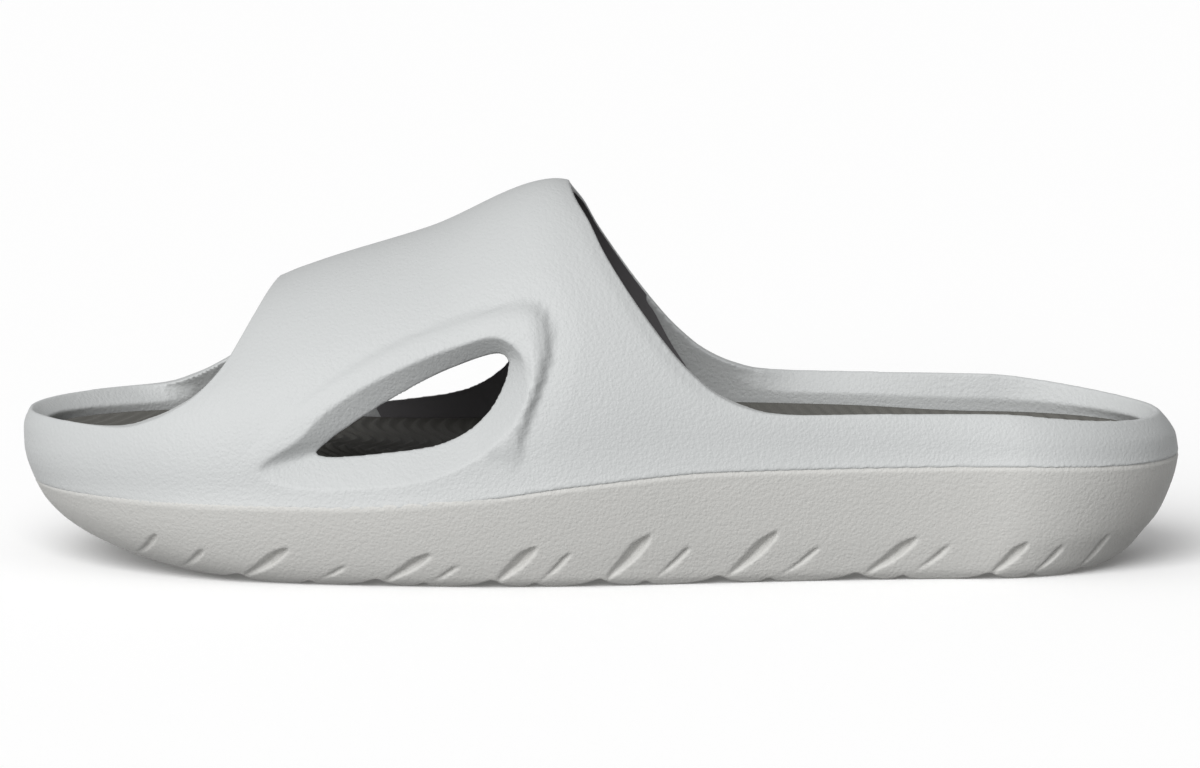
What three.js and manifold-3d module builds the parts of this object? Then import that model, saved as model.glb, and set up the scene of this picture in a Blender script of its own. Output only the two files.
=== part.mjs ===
import * as THREE from 'three';
import { mergeVertices } from 'three/addons/utils/BufferGeometryUtils.js';
import Module from 'manifold-3d';

// A moulded foam slide for the left foot. Lengths are in millimetres. The toe points along -X, the outer
// (lateral) side faces -Y, and the floor is Z = 0. Along is measured from the foremost point of the toe.

const wasm = await Module();
wasm.setup();

// Driving dimensions
const shoeLength = 290;
const ballWidth = 108;
const heelWidth = 79;
const strapHeight = 95.7;
const collarHeight = 42;
const toeRimHeight = 37.5;
const creaseHeight = 28.8;
const strapWall = 6;
const collarWall = 5;
const crownThinning = 0.45;
const creaseFlare = 0.025;
const clearance = 0.3;
const footbedThickness = 6;
const footbedDish = 5;
const toeCapLength = 60;
const heelCapLength = 42;
const toeSpring = 10;
const toeSpringLength = 70;
const heelSpring = 5;
const heelSpringLength = 36;
const rimWidth = 1.4;
const bevelOver = 2;
const bevelShare = 0.75;
const windowStart = 60;
const windowLength = 65;
const windowLow = 25.7;
const windowHeight = 37.7;
const windowLip = 1.2;
const ringWidth = 9.5;
const ringRaise = 2.6;
const ringSink = 0.3;
const cutterReach = 25;
const cutterRise = 60;
const grooveRise = 13;
const grooveWidth = 7.5;
const grooveDepth = 2.6;
const grooveOut = 1.5;
const treadWidth = 5;
const treadDepth = 2.2;
const treadBelow = 1;
const toeMouthSkew = -6.5;
const heelMouthSkew = 1.8;
const medialWindowShift = 5.5;

// Mesh fineness
const ringPoints = 88;
const archLevels = 12;
const outlinePlaces = 30;
const weldLength = 0.05;
const weldFineness = 0.0005;
const slopeStep = 0.5;

// Sections from toe to heel, each column a share of the shoe's own size
const sections = [
  { at: 0.0, lateral: 0.389, medial: 0.407, centre: 0.06, crease: 0.694, crown: 0.439, fullness: 2.3,
    edgeLateral: 0.77, edgeMedial: 0.775, dish: 0.3 },
  { at: 0.14, lateral: 0.454, medial: 0.472, centre: 0.03, crease: 0.688, crown: 0.648, fullness: 2.3,
    edgeLateral: 0.74, edgeMedial: 0.75, dish: 0.5 },
  { at: 0.26, lateral: 0.481, medial: 0.5, centre: 0.005, crease: 0.691, crown: 0.784, fullness: 2.2,
    edgeLateral: 0.69, edgeMedial: 0.7, dish: 0.6 },
  { at: 0.36, lateral: 0.5, medial: 0.495, centre: 0.0, crease: 0.75, crown: 0.874, fullness: 2.05,
    edgeLateral: 0.67, edgeMedial: 0.69, dish: 0.7 },
  { at: 0.48, lateral: 0.507, medial: 0.459, centre: 0.0, crease: 0.9, crown: 1.003, fullness: 1.85,
    edgeLateral: 0.7, edgeMedial: 0.77, dish: 0.8 },
  { at: 0.6, lateral: 0.503, medial: 0.449, centre: 0.0, crease: 0.993, crown: 0.92, fullness: 1.8,
    edgeLateral: 0.77, edgeMedial: 0.83, dish: 0.9 },
  { at: 0.72, lateral: 0.503, medial: 0.473, centre: 0.0, crease: 1.0, crown: 0.72, fullness: 2.0,
    edgeLateral: 0.79, edgeMedial: 0.82, dish: 1.0 },
  { at: 0.84, lateral: 0.5, medial: 0.5, centre: 0.0, crease: 1.0, crown: 0.627, fullness: 2.0,
    edgeLateral: 0.78, edgeMedial: 0.78, dish: 1.0 },
  { at: 1.0, lateral: 0.5, medial: 0.5, centre: 0.0, crease: 0.9375, crown: 0.47, fullness: 2.2,
    edgeLateral: 0.77, edgeMedial: 0.77, dish: 1.0 }
];

// How far the toe and the heel draw in above the crease, as shares of the length
const upperEnds = [
  { at: 0.0, toe: 0.01, heel: 0.0 },
  { at: 0.27, toe: 0.0024, heel: 0.0028 },
  { at: 0.39, toe: 0.0008, heel: 0.0069 },
  { at: 0.58, toe: 0.0004, heel: 0.0169 },
  { at: 0.8, toe: 0.0062, heel: 0.031 },
  { at: 1.0, toe: 0.017, heel: 0.052 }
];

// The side wall of the sole from the floor edge up to the crease
const soleEnds = [
  { at: 0.0, toe: 0.0862, heel: 0.0531, side: 0.15 },
  { at: 0.075, toe: 0.0655, heel: 0.0414, side: 0.112 },
  { at: 0.2, toe: 0.0448, heel: 0.031, side: 0.085 },
  { at: 0.38, toe: 0.0297, heel: 0.0172, side: 0.058 },
  { at: 0.65, toe: 0.0179, heel: 0.0069, side: 0.028 },
  { at: 0.83, toe: 0.0134, heel: 0.0024, side: 0.012 },
  { at: 1.0, toe: 0.01, heel: 0.0, side: 0.0 }
];

// The front edge of the strap: along is a share of the length, up of the way from toe rim to strap top
const toeMouth = [
  { along: -0.05, up: 0.0 },
  { along: 0.03, up: 0.0 },
  { along: 0.086, up: 0.006 },
  { along: 0.113, up: 0.043 },
  { along: 0.133, up: 0.09 },
  { along: 0.154, up: 0.16 },
  { along: 0.176, up: 0.284 },
  { along: 0.194, up: 0.455 },
  { along: 0.203, up: 0.55 },
  { along: 0.212, up: 0.62 },
  { along: 0.224, up: 0.72 },
  { along: 0.23, up: 0.9 }
];

// The rear edge of the strap and the collar behind it, up being the way from collar to strap top
const heelMouth = [
  { along: 0.472, up: 1.08 },
  { along: 0.479, up: 0.963 },
  { along: 0.492, up: 0.855 },
  { along: 0.506, up: 0.711 },
  { along: 0.534, up: 0.482 },
  { along: 0.561, up: 0.292 },
  { along: 0.58, up: 0.185 },
  { along: 0.6, up: 0.1 },
  { along: 0.626, up: 0.038 },
  { along: 0.658, up: 0.008 },
  { along: 0.75, up: 0.0 },
  { along: 0.845, up: -0.008 },
  { along: 0.883, up: -0.028 },
  { along: 0.931, up: -0.06 },
  { along: 0.97, up: -0.08 },
  { along: 1.05, up: -0.1 }
];

// The side window, from its front tip over the top: the scoop's edge, the opening and the raised ring
const windowRows = [
  { outerA: 0.0, outerB: 0.1, innerA: 0.212, innerB: 0.22, ring: 0.0 },
  { outerA: 0.154, outerB: 0.3, innerA: 0.262, innerB: 0.313, ring: 0.35 },
  { outerA: 0.255, outerB: 0.47, innerA: 0.338, innerB: 0.406, ring: 0.55 },
  { outerA: 0.45, outerB: 0.705, innerA: 0.508, innerB: 0.578, ring: 0.62 },
  { outerA: 0.745, outerB: 0.94, innerA: 0.738, innerB: 0.78, ring: 0.7 },
  { outerA: 0.91, outerB: 1.0, innerA: 0.903, innerB: 0.825, ring: 0.85 },
  { outerA: 0.99, outerB: 0.857, innerA: 0.94, innerB: 0.777, ring: 1.0 },
  { outerA: 1.0, outerB: 0.645, innerA: 0.926, innerB: 0.645, ring: 1.0 },
  { outerA: 0.892, outerB: 0.3, innerA: 0.846, innerB: 0.454, ring: 0.75 },
  { outerA: 0.695, outerB: 0.093, innerA: 0.714, innerB: 0.31, ring: 0.1 },
  { outerA: 0.35, outerB: 0.0, innerA: 0.46, innerB: 0.228, ring: 0.0 },
  { outerA: 0.09, outerB: 0.01, innerA: 0.262, innerB: 0.2, ring: 0.0 }
];

// Slashes in the side of the sole: the notch's place, how far it leans back, and which cross the tread
const grooves = [
  { along: 0.09, lean: 0.031, rise: 0.75, width: 0.45, tread: 0 },
  { along: 0.131, lean: 0.031, rise: 0.62, width: 0.45, tread: 0 },
  { along: 0.179, lean: 0.055, rise: 0.75, width: 1.0, tread: 1 },
  { along: 0.241, lean: 0.045, rise: 0.45, width: 0.45, tread: 1 },
  { along: 0.299, lean: 0.057, rise: 0.68, width: 1.0, tread: 1 },
  { along: 0.34, lean: 0.041, rise: 0.47, width: 0.45, tread: 0 },
  { along: 0.398, lean: 0.048, rise: 0.81, width: 1.0, tread: 1 },
  { along: 0.435, lean: 0.041, rise: 0.7, width: 0.45, tread: 0 },
  { along: 0.49, lean: 0.054, rise: 1.0, width: 1.0, tread: 1 },
  { along: 0.529, lean: 0.05, rise: 0.77, width: 0.45, tread: 0 },
  { along: 0.591, lean: 0.062, rise: 1.0, width: 1.0, tread: 1 },
  { along: 0.634, lean: 0.057, rise: 0.72, width: 0.45, tread: 0 },
  { along: 0.708, lean: 0.065, rise: 0.84, width: 1.0, tread: 1 },
  { along: 0.748, lean: 0.055, rise: 0.72, width: 0.45, tread: 0 },
  { along: 0.822, lean: 0.046, rise: 0.73, width: 0.8, tread: 1 },
  { along: 0.859, lean: 0.041, rise: 0.65, width: 0.45, tread: 0 },
  { along: 0.9, lean: 0.039, rise: 0.68, width: 0.45, tread: 0 }
];

// A smooth monotone curve through one column of a table, at any place along it
function column(rows, name) {
  const at = rows.map(row => row.at);
  const value = rows.map(row => row[name]);
  const steep = at.slice(1).map((end, i) => (value[i + 1] - value[i]) / (end - at[i]));
  const slope = at.map((_, i) => {
    if (i === 0) return steep[0];
    if (i === at.length - 1) return steep[i - 1];
    const product = steep[i - 1] * steep[i];
    return product <= 0 ? 0 : 2 * product / (steep[i - 1] + steep[i]);
  });
  return place => {
    const x = THREE.MathUtils.clamp(place, at[0], at[at.length - 1]);
    let i = 0;
    while (i < at.length - 2 && x > at[i + 1]) i++;
    const span = at[i + 1] - at[i];
    const u = (x - at[i]) / span;
    const rise = u * u * (3 - 2 * u);
    const start = u * (1 - u) * (1 - u) * span * slope[i];
    const end = u * u * (1 - u) * span * slope[i + 1];
    return value[i] + (value[i + 1] - value[i]) * rise + start - end;
  };
}

const lateralAt = column(sections, 'lateral');
const medialAt = column(sections, 'medial');
const centreAt = column(sections, 'centre');
const creaseShareAt = column(sections, 'crease');
const crownShareAt = column(sections, 'crown');
const fullnessAt = column(sections, 'fullness');
const edgeLateralAt = column(sections, 'edgeLateral');
const edgeMedialAt = column(sections, 'edgeMedial');
const dishAt = column(sections, 'dish');
const upperToeAt = column(upperEnds, 'toe');
const upperHeelAt = column(upperEnds, 'heel');
const soleToeAt = column(soleEnds, 'toe');
const soleHeelAt = column(soleEnds, 'heel');
const soleSideAt = column(soleEnds, 'side');

const heelRimAt = column(heelMouth.map(row => ({ at: row.along, up: row.up })), 'up');

const creaseAt = share => creaseHeight * creaseShareAt(share);
const crownAt = share => strapHeight * crownShareAt(share);

// The width changes from ball width to heel width between the ball and the heel
function localWidth(share) {
  const ballEnd = 0.36;
  const heelStart = 0.84;
  const blend = THREE.MathUtils.smoothstep(share, ballEnd, heelStart);
  return THREE.MathUtils.lerp(ballWidth, heelWidth, blend);
}

// Half width at the crease before the round ends are drawn in
function halfWidth(share, side) {
  return localWidth(share) * (side < 0 ? lateralAt(share) : medialAt(share));
}

function roundEnd(share) {
  const along = share * shoeLength;
  const toToe = Math.max(0, 1 - along / toeCapLength);
  const toHeel = Math.max(0, 1 - (shoeLength - along) / heelCapLength);
  const toeBluntness = 2.4;
  const heelBluntness = 2;
  const bluntness = toToe > 0 ? toeBluntness : heelBluntness;
  const out = Math.min(1, Math.max(toToe, toHeel));
  return Math.pow(1 - Math.pow(out, bluntness), 1 / bluntness);
}

// The share of the half width left at a height on the arch, with the flare just above the crease
function archWidth(share, rise) {
  const fullness = fullnessAt(share);
  const flareTop = 0.15;
  const arch = Math.sqrt(Math.max(0, 1 - Math.pow(Math.max(0, rise), fullness)));
  const above = THREE.MathUtils.clamp(rise / flareTop, 0, 1);
  return arch * (1 - creaseFlare * above * (2 - above));
}

// Thickness of the upper: the strap is thicker than the collar and thins towards its crown
function wallAt(share, rise) {
  const strapEnd = 0.5;
  const collarStart = 0.7;
  const blend = THREE.MathUtils.smoothstep(share, strapEnd, collarStart);
  const wall = THREE.MathUtils.lerp(strapWall, collarWall, blend);
  return wall * (1 - crownThinning * rise * rise);
}

// A turn of 0 is the toe tip, half a turn later comes the heel, by way of the lateral side
function alongShare(turn) {
  const roundness = 0.8;
  const straight = turn <= Math.PI ? turn / Math.PI : 2 - turn / Math.PI;
  return roundness * (1 - Math.cos(turn)) / 2 + (1 - roundness) * straight;
}

const sideOf = turn => Math.sin(turn) > 0 ? -1 : 1;

// A point of the upper's form, inset into the wall. Rise runs from 0 at the crease to 1 at the crown.
function formPoint(turn, rise, walls, extra) {
  const share = alongShare(turn);
  const side = sideOf(turn);
  const inset = walls * wallAt(share, Math.max(0, rise)) + extra;
  const toe = shoeLength * upperToeAt(rise) + inset;
  const heel = shoeLength * upperHeelAt(rise) + inset;
  const half = (halfWidth(share, side) - inset) * roundEnd(share) * archWidth(share, rise);
  const centre = ballWidth * centreAt(share);
  const up = creaseAt(share) + rise * (crownAt(share) - Math.max(0, inset) - creaseAt(share));
  return new THREE.Vector3(toe + share * (shoeLength - toe - heel), centre + side * half, up);
}

// The same, at a height instead of a rise
function formPointAt(turn, up, walls, extra) {
  const share = alongShare(turn);
  const inset = walls * wallAt(share, 0) + extra;
  const rise = (up - creaseAt(share)) / (crownAt(share) - inset - creaseAt(share));
  const point = formPoint(turn, rise, walls, extra);
  point.z = up;
  return point;
}

// The lowest height of the sole, with toe spring and the lift of the heel edge
function floorAt(along) {
  const sweep = 2.2;
  const toe = Math.max(0, 1 - along / toeSpringLength);
  const heel = Math.max(0, 1 - (shoeLength - along) / heelSpringLength);
  return toeSpring * Math.pow(toe, sweep) + heelSpring * heel * heel;
}

// A point of the sole's side wall. Rise runs from 0 at the floor edge to 1 at the crease.
function solePoint(turn, rise) {
  const share = alongShare(turn);
  const side = sideOf(turn);
  const toe = shoeLength * soleToeAt(rise);
  const heel = shoeLength * soleHeelAt(rise);
  const along = toe + share * (shoeLength - toe - heel);
  const half = halfWidth(share, side) * roundEnd(share) * (1 - soleSideAt(rise));
  const across = ballWidth * centreAt(share) + side * half;
  const low = floorAt(along);
  return new THREE.Vector3(along, across, low + rise * (creaseAt(share) - low));
}

// A place on the skin of the upper or the sole, given along and up, moved out by a distance
function upperY(along, up, side) {
  let share = along / shoeLength;
  let rise = 0;
  for (let pass = 0; pass < 4; pass++) {
    rise = (up - creaseAt(share)) / (crownAt(share) - creaseAt(share));
    const toe = shoeLength * upperToeAt(rise);
    const heel = shoeLength * upperHeelAt(rise);
    share = (along - toe) / (shoeLength - toe - heel);
  }
  const half = halfWidth(share, side) * roundEnd(share) * archWidth(share, rise);
  return ballWidth * centreAt(share) + side * half;
}

function soleY(along, up, side) {
  let share = along / shoeLength;
  let rise = 0;
  for (let pass = 0; pass < 4; pass++) {
    rise = THREE.MathUtils.clamp((up - floorAt(along)) / (creaseAt(share) - floorAt(along)), 0, 1);
    const toe = shoeLength * soleToeAt(rise);
    const heel = shoeLength * soleHeelAt(rise);
    share = THREE.MathUtils.clamp((along - toe) / (shoeLength - toe - heel), 0, 1);
  }
  const half = halfWidth(share, side) * roundEnd(share) * (1 - soleSideAt(rise));
  return ballWidth * centreAt(share) + side * half;
}

function skinPoint(skinY, along, up, side, out) {
  const step = slopeStep;
  const y = skinY(along, up, side);
  const slopeAlong = (skinY(along + step, up, side) - skinY(along - step, up, side)) / (2 * step);
  const slopeUp = (skinY(along, up + step, side) - skinY(along, up - step, side)) / (2 * step);
  const normal = new THREE.Vector3(-slopeAlong * side, side, -slopeUp * side).normalize();
  return new THREE.Vector3(along, y, up).addScaledVector(normal, out);
}

// Solids

function ringOf(pointAt) {
  return Array.from({ length: ringPoints }, (_, i) => pointAt(i / ringPoints * 2 * Math.PI));
}

function geometryOf(points, faces) {
  const geometry = new THREE.BufferGeometry();
  geometry.setAttribute('position', new THREE.Float32BufferAttribute(points.flatMap(p => p.toArray()), 3));
  geometry.setIndex(faces);
  return geometry;
}

// A stack of shoe-shaped rings from low to high, closed by strips across the foot at both ends
function loftRings(rings) {
  const count = ringPoints;
  const faces = [];
  const quad = (a, b, c, d) => faces.push(a, b, c, a, c, d);
  for (let level = 0; level < rings.length - 1; level++) {
    for (let i = 0; i < count; i++) {
      const next = (i + 1) % count;
      quad(level * count + i, level * count + next, (level + 1) * count + next, (level + 1) * count + i);
    }
  }
  const top = (rings.length - 1) * count;
  faces.push(0, count - 1, 1, top, top + 1, top + count - 1);
  const last = count / 2 - 1;
  for (let i = 1; i < last; i++) {
    quad(i, count - i, count - i - 1, i + 1);
    quad(top + i, top + i + 1, top + count - i - 1, top + count - i);
  }
  faces.push(last, last + 2, last + 1, top + last, top + last + 1, top + last + 2);
  return geometryOf(rings.flat(), faces);
}

// A tube of closed loops that ends in a flat fan, or closes on itself where round is true
function loftLoops(loops, round, flip) {
  const count = loops[0].length;
  const points = loops.flat();
  const faces = [];
  const face = (a, b, c) => flip ? faces.push(a, c, b) : faces.push(a, b, c);
  const spans = round ? loops.length : loops.length - 1;
  for (let level = 0; level < spans; level++) {
    const here = level * count;
    const there = (level + 1) % loops.length * count;
    for (let i = 0; i < count; i++) {
      const next = (i + 1) % count;
      face(here + i, here + next, there + next);
      face(here + i, there + next, there + i);
    }
  }
  if (!round) {
    for (const [loop, start] of [[loops[0], 0], [loops[loops.length - 1], points.length - count]]) {
      const middle = loop.reduce((sum, p) => sum.add(p), new THREE.Vector3()).divideScalar(count);
      points.push(middle);
      for (let i = 0; i < count; i++) {
        const next = (i + 1) % count;
        if (start === 0) face(points.length - 1, start + next, start + i);
        else face(points.length - 1, start + i, start + next);
      }
    }
  }
  return geometryOf(points, faces);
}

function solidOf(geometry) {
  geometry.deleteAttribute('normal');
  geometry.deleteAttribute('uv');
  const merged = mergeVertices(geometry, weldFineness);
  return new wasm.Manifold(new wasm.Mesh({
    numProp: 3,
    vertProperties: new Float32Array(merged.attributes.position.array),
    triVerts: new Uint32Array(merged.index.array)
  }));
}

// Only the largest shell of a cut solid stays, so a chip between two cuts falls away
function largestShell(faces, count) {
  const shell = Array.from({ length: count }, (_, i) => i);
  const root = i => {
    while (shell[i] !== i) i = shell[i];
    return i;
  };
  for (const [a, b, c] of faces) {
    shell[root(a)] = root(b);
    shell[root(b)] = root(c);
  }
  const sizes = new Map();
  for (const [a] of faces) sizes.set(root(a), (sizes.get(root(a)) || 0) + 1);
  const largest = [...sizes].sort((a, b) => b[1] - a[1])[0][0];
  return faces.filter(([a]) => root(a) === largest);
}

// Edges shorter than the weld length are drawn together, and faces left back to back cancel out
function weldShortEdges(solid) {
  const { vertProperties, triVerts } = solid.getMesh();
  const count = vertProperties.length / 3;
  const kept = Array.from({ length: count }, (_, i) => i);
  const root = i => {
    while (kept[i] !== i) i = kept[i];
    return i;
  };
  const point = i => new THREE.Vector3().fromArray(vertProperties, 3 * i);
  for (let i = 0; i < triVerts.length; i++) {
    const a = root(triVerts[i]);
    const b = root(triVerts[i % 3 === 2 ? i - 2 : i + 1]);
    if (a !== b && point(a).distanceTo(point(b)) < weldLength) kept[Math.max(a, b)] = Math.min(a, b);
  }
  const faces = new Map();
  for (let i = 0; i < triVerts.length; i += 3) {
    const corners = [root(triVerts[i]), root(triVerts[i + 1]), root(triVerts[i + 2])];
    if (new Set(corners).size < 3) continue;
    const key = [...corners].sort((a, b) => a - b).join(' ');
    if (faces.has(key)) faces.delete(key);
    else faces.set(key, corners);
  }
  const shell = largestShell([...faces.values()], count);
  return geometryOf(Array.from({ length: count }, (_, i) => point(i)), shell.flat());
}

function meshOf(name, solid, material) {
  const geometry = mergeVertices(weldShortEdges(solid).toNonIndexed(), weldFineness);
  geometry.computeVertexNormals();
  const mesh = new THREE.Mesh(geometry, material);
  mesh.name = name;
  return mesh;
}

// Window outlines, smoothed round the table's rows
function windowLoop(nameA, nameB, side) {
  const start = windowStart + (side > 0 ? medialWindowShift : 0);
  const rows = windowRows.map(row => new THREE.Vector3(
    start + windowLength * row[nameA], 0, windowLow + windowHeight * row[nameB]));
  return new THREE.CatmullRomCurve3(rows, true, 'centripetal').getPoints(outlinePlaces).slice(0, -1);
}

const ringRows = windowRows.map(row => new THREE.Vector3(row.ring, 0, 0));
const ringCurve = new THREE.CatmullRomCurve3(ringRows, true);
const ringShares = ringCurve.getPoints(outlinePlaces).slice(0, -1);

// The raised ring round a window: a swept pad sunk into the wall
function windowRing(side) {
  const profile = [
    { out: -0.15, up: -1.2 },
    { out: -0.15, up: 0.85 },
    { out: 0.3, up: 1.0 },
    { out: 0.65, up: 0.75 },
    { out: 1.0, up: -0.1 },
    { out: 0.9, up: -1.2 }
  ];
  const narrow = 0.35;
  const windowOuter = windowLoop('outerA', 'outerB', side);
  const total = windowOuter.reduce((sum, p) => sum.add(p), new THREE.Vector3());
  const middle = total.divideScalar(outlinePlaces);
  const loops = windowOuter.map((edge, i) => {
    const before = windowOuter[(i + outlinePlaces - 1) % outlinePlaces];
    const after = windowOuter[(i + 1) % outlinePlaces];
    const outward = new THREE.Vector3(before.z - after.z, 0, after.x - before.x).normalize();
    if (outward.dot(edge.clone().sub(middle)) < 0) outward.negate();
    const share = Math.max(0, ringShares[i].x);
    return profile.map(({ out, up }) => {
      const width = ringWidth * (narrow + (1 - narrow) * share);
      const place = edge.clone().addScaledVector(outward, out * width);
      const height = up > 0 ? up * ringRaise * share - ringSink * (1 - share) : up * strapWall / 2;
      return skinPoint(upperY, place.x, place.z, side, height);
    });
  });
  return solidOf(loftLoops(loops, true, side < 0));
}

// The window's cutter: the scoop narrows to the opening, then runs straight inwards
function windowCutter(side) {
  const beyond = 0.6;
  const deep = windowLip - strapWall;
  const inner = windowLoop('innerA', 'innerB', side).map(p => skinPoint(upperY, p.x, p.z, side, deep));
  const outer = windowLoop('outerA', 'outerB', side).map((p, i) => {
    const edge = skinPoint(upperY, p.x, p.z, side, ringRaise * Math.max(0, ringShares[i].x));
    return edge.clone().add(edge.clone().sub(inner[i]).multiplyScalar(beyond));
  });
  const inside = inner.map(p => new THREE.Vector3(p.x, p.y - side * cutterReach, p.z));
  return solidOf(loftLoops([outer, inner, inside], false, side > 0));
}

// A cut through the full width, with the rows as its lower edge, turned about a pivot
function mouthCutter(rows, base, turn, pivot) {
  const edge = rows.map(row => new THREE.Vector2(
    shoeLength * row.along, base + row.up * (strapHeight - base)));
  const first = edge[0];
  const last = edge[edge.length - 1];
  const top = strapHeight + cutterRise;
  const shape = new THREE.Shape();
  shape.moveTo(first.x, top);
  shape.lineTo(first.x, first.y);
  shape.splineThru(edge.slice(1));
  shape.lineTo(last.x, top);
  const settings = { depth: 2 * ballWidth, bevelEnabled: false, curveSegments: 2 };
  const geometry = new THREE.ExtrudeGeometry(shape, settings);
  geometry.rotateX(Math.PI / 2);
  geometry.translate(-pivot.x, ballWidth - pivot.y, 0);
  geometry.rotateZ(THREE.MathUtils.degToRad(turn));
  geometry.translate(pivot.x, pivot.y, 0);
  return solidOf(geometry);
}

// Height of the collar's rim, and of the footbed's edge, round the foot
function rimAt(share) {
  const strapStart = 0.1;
  const strapEnd = 0.64;
  if (share > strapEnd) return collarHeight + (strapHeight - collarHeight) * heelRimAt(share);
  const blend = THREE.MathUtils.smoothstep(share, strapStart, strapEnd);
  return THREE.MathUtils.lerp(toeRimHeight, collarHeight, blend);
}

function footbedEdge(turn) {
  const share = alongShare(turn);
  const blend = (1 - Math.sin(turn)) / 2;
  return collarHeight * THREE.MathUtils.lerp(edgeLateralAt(share), edgeMedialAt(share), blend);
}

// The collar's inner face leans out from above the footbed to a narrow rim, and runs out under the strap
function collarBevel() {
  const toeFade = [0.06, 0.12];
  const heelFade = [0.61, 0.68];
  const ringAt = (lift, full) => ringOf(turn => {
    const share = alongShare(turn);
    const toe = 1 - THREE.MathUtils.smoothstep(share, ...toeFade);
    const bevel = toe + THREE.MathUtils.smoothstep(share, ...heelFade);
    const rim = rimAt(share);
    const height = bevelShare * (rim - footbedEdge(turn));
    const lean = bevel * full * (wallAt(share, 0) - rimWidth + clearance);
    return formPointAt(turn, rim + lift(height), 1, clearance - lean);
  });
  return solidOf(loftRings([ringAt(height => -height, 0), ringAt(() => 0, 1), ringAt(() => bevelOver, 1)]));
}

// Upper: collar, strap, rings and windows in one hollow moulding
function makeUpper() {
  const rises = Array.from({ length: archLevels + 1 }, (_, i) => Math.sin(i / archLevels * Math.PI / 2));
  const outside = rises.map(rise => ringOf(turn => formPoint(turn, rise, 0, 0)));
  outside[0] = ringOf(turn => formPoint(turn, 0, 0, 0).add(new THREE.Vector3(0, 0, clearance / 2)));
  const inside = rises.map(rise => ringOf(turn => formPoint(turn, rise, 1, 0)));
  const overlap = new THREE.Vector3(0, 0, creaseHeight / 4);
  const below = ringOf(turn => formPoint(turn, 0, 1, 0).sub(overlap));
  let solid = solidOf(loftRings(outside));
  for (const side of [-1, 1]) solid = solid.add(windowRing(side));
  solid = solid.subtract(solidOf(loftRings([below, ...inside])));
  solid = solid.subtract(collarBevel());
  const toePivot = 0.16;
  const heelPivot = 0.55;
  const flank = -ballWidth / 3;
  const toeFlank = new THREE.Vector2(shoeLength * toePivot, flank);
  const heelFlank = new THREE.Vector2(shoeLength * heelPivot, flank);
  solid = solid.subtract(mouthCutter(toeMouth, toeRimHeight, toeMouthSkew, toeFlank));
  solid = solid.subtract(mouthCutter(heelMouth, collarHeight, heelMouthSkew, heelFlank));
  for (const side of [-1, 1]) solid = solid.subtract(windowCutter(side));
  return solid;
}

// Footbed: a dished insert inside the collar
function makeFootbed() {
  const shrinks = [0.94, 0.82, 0.62, 0.35, 0.08];
  const drawIn = 0.25;
  const low = ringOf(turn => formPointAt(turn, footbedEdge(turn) - footbedThickness, 1, clearance));
  const high = ringOf(turn => formPointAt(turn, footbedEdge(turn), 1, clearance));
  const dished = shrinks.map(shrink => high.map((edge, i) => {
    const middle = (high[i].y + high[(ringPoints - i) % ringPoints].y) / 2;
    const dip = footbedDish * dishAt(edge.x / shoeLength) * (1 - shrink * shrink * shrink);
    const along = shoeLength / 2 + (edge.x - shoeLength / 2) * (1 - (1 - shrink) * drawIn);
    return new THREE.Vector3(along, middle + (edge.y - middle) * shrink, edge.z - dip);
  }));
  return solidOf(loftRings([low, high, ...dished]));
}

// One slash in the sole's side: a wedge that starts in the floor edge and runs up and back
function grooveCutter(groove, side) {
  const steps = [
    { run: -0.1, rise: -0.25, width: 0.9, depth: 1.0 },
    { run: 0.3, rise: 0.1, width: 1.0, depth: 1.0 },
    { run: 0.68, rise: 0.5, width: 0.75, depth: 0.9 },
    { run: 0.9, rise: 0.85, width: 0.42, depth: 0.5 },
    { run: 1.0, rise: 1.05, width: 0.08, depth: 0.05 }
  ];
  const shallow = 0.6;
  const valley = 0.2;
  const width = grooveWidth * groove.width;
  const loops = steps.map(step => {
    const along = shoeLength * (groove.along + groove.lean * step.run);
    const up = floorAt(along) + grooveRise * groove.rise * step.rise;
    const half = width * step.width / 2;
    const deep = grooveDepth * step.depth * (shallow + (1 - shallow) * groove.width);
    return [
      skinPoint(soleY, along - half, up, side, grooveOut),
      skinPoint(soleY, along + half, up, side, grooveOut),
      skinPoint(soleY, along - half * valley, up, side, -deep)
    ];
  });
  return solidOf(loftLoops(loops, false, side > 0));
}

// One shallow channel across the tread
function treadCutter(groove) {
  const spans = [-1, -0.5, 0, 0.5, 1];
  const reach = 0.7;
  const bow = 0.015;
  const loops = spans.map(span => {
    const along = shoeLength * (groove.along + bow * (1 - span * span));
    const y = ballWidth * reach * span;
    const floor = floorAt(along);
    return [
      new THREE.Vector3(along - treadWidth / 2, y, floor - treadBelow),
      new THREE.Vector3(along + treadWidth / 2, y, floor - treadBelow),
      new THREE.Vector3(along + treadWidth / 4, y, floor + treadDepth),
      new THREE.Vector3(along - treadWidth / 4, y, floor + treadDepth)
    ];
  });
  return solidOf(loftLoops(loops, false, true));
}

// Sole: floor edge, side wall, the shelf under the collar and the platform under the footbed
function makeSole() {
  const gap = new THREE.Vector3(0, 0, clearance / 2);
  const platform = turn => footbedEdge(turn) - footbedThickness - clearance;
  const rings = soleEnds.map(row => ringOf(turn => solePoint(turn, row.at)));
  rings[rings.length - 1] = ringOf(turn => solePoint(turn, 1).sub(gap));
  rings.push(ringOf(turn => formPoint(turn, 0, 1, clearance).sub(gap)));
  rings.push(ringOf(turn => formPointAt(turn, platform(turn), 1, clearance)));
  let solid = solidOf(loftRings(rings));
  for (const groove of grooves) {
    for (const side of [-1, 1]) solid = solid.subtract(grooveCutter(groove, side));
    if (groove.tread) solid = solid.subtract(treadCutter(groove));
  }
  return solid;
}

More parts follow.
